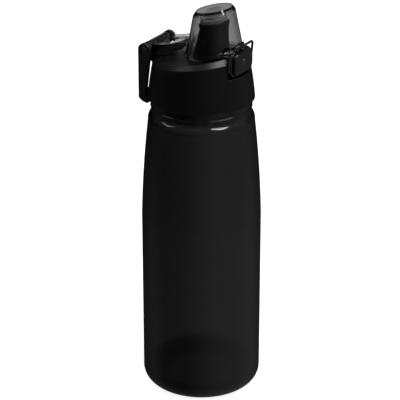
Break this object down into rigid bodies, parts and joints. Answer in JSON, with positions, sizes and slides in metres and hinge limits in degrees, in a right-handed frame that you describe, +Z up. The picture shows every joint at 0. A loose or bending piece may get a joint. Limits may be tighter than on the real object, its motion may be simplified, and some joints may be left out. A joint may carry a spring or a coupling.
{
  "type": "drinking bottle",
  "caption": "Smoke-tinted rigid drinking bottle with a black screw cap, spout under a sprung flip lid, push-button latch, wire bail and carry handle",
  "frame": {"origin": "centre of the base, on the plane the bottle stands on", "axes": "+Z up along the bottle, -Y is the front with the button and latch, +Y is the back with the hinge and carry handle, the plane x = 0 is the plane of symmetry"},
  "size_m": [0.075, 0.075, 0.2564],
  "materials": {
    "smoke_body": "clear moulded copolyester with a dark smoke tint, polished",
    "smoke_lid": "clear moulded copolyester with a lighter smoke tint, polished",
    "matte_black": "fine spark-eroded texture",
    "handle_black": "satin moulded",
    "spout_black": "smooth satin, soft touch",
    "gloss_black": "semi-gloss moulded",
    "liner_black": "plain moulded",
    "silicone": "grey silicone",
    "steel": "drawn stainless wire",
    "black_wire": "black coated wire",
    "dark_metal": "dark plated disc"
  },
  "bodies": {
    "bottle": {"bottle_body": "smoke_body"},
    "seal": {"cap_gasket": "silicone"},
    "cap": {"cap_shell": "matte_black", "cap_liner": "liner_black", "hinge_cover": "gloss_black", "hinge_pin": "steel", "pin_cap_left": "gloss_black", "pin_cap_right": "gloss_black", "hinge_spring": "steel", "spout": "spout_black", "spout_seal": "silicone", "spout_lip": "spout_black", "vent_valve": "silicone", "latch_housing": "gloss_black", "button_spring": "steel"},
    "flip_lid": {"lid": "smoke_lid", "lid_plug": "silicone"},
    "handle": {"carry_handle": "handle_black"},
    "button": {"push_button": "gloss_black", "button_badge": "dark_metal", "latch_catch": "liner_black"},
    "bail": {"wire_bail": "black_wire"}
  },
  "joints": [
    {"name": "cap_lift", "type": "slide", "parent": "bottle", "child": "seal", "axis": [0, 0, 1], "range_m": [0, 0.00505]},
    {"name": "cap_turn", "type": "hinge", "parent": "seal", "child": "cap", "pos_m": [0, 0, 0.2], "axis": [0, 0, 1], "range_deg": [0, 450]},
    {"name": "lid_open", "type": "hinge", "parent": "cap", "child": "flip_lid", "pos_m": [0, 0.0321, 0.2237], "axis": [-1, 0, 0], "range_deg": [0, 170], "deforming": ["hinge_spring"]},
    {"name": "handle_swing", "type": "hinge", "parent": "cap", "child": "handle", "pos_m": [0, 0.0321, 0.2237], "axis": [1, 0, 0], "range_deg": [0, 180]},
    {"name": "button_press", "type": "slide", "parent": "cap", "child": "button", "axis": [0, 1, 0], "range_m": [0, 0.0016], "stiffness_N_per_m": 900, "springref_m": -0.0008, "deforming": ["button_spring"]},
    {"name": "bail_swing", "type": "hinge", "parent": "cap", "child": "bail", "pos_m": [0, -0.027, 0.2203], "axis": [1, 0, 0], "range_deg": [0, 148]}
  ],
  "couplings": [
    {"joint": "cap_lift", "follows": "cap_turn", "m_per_rad": 0.00063662}
  ]
}
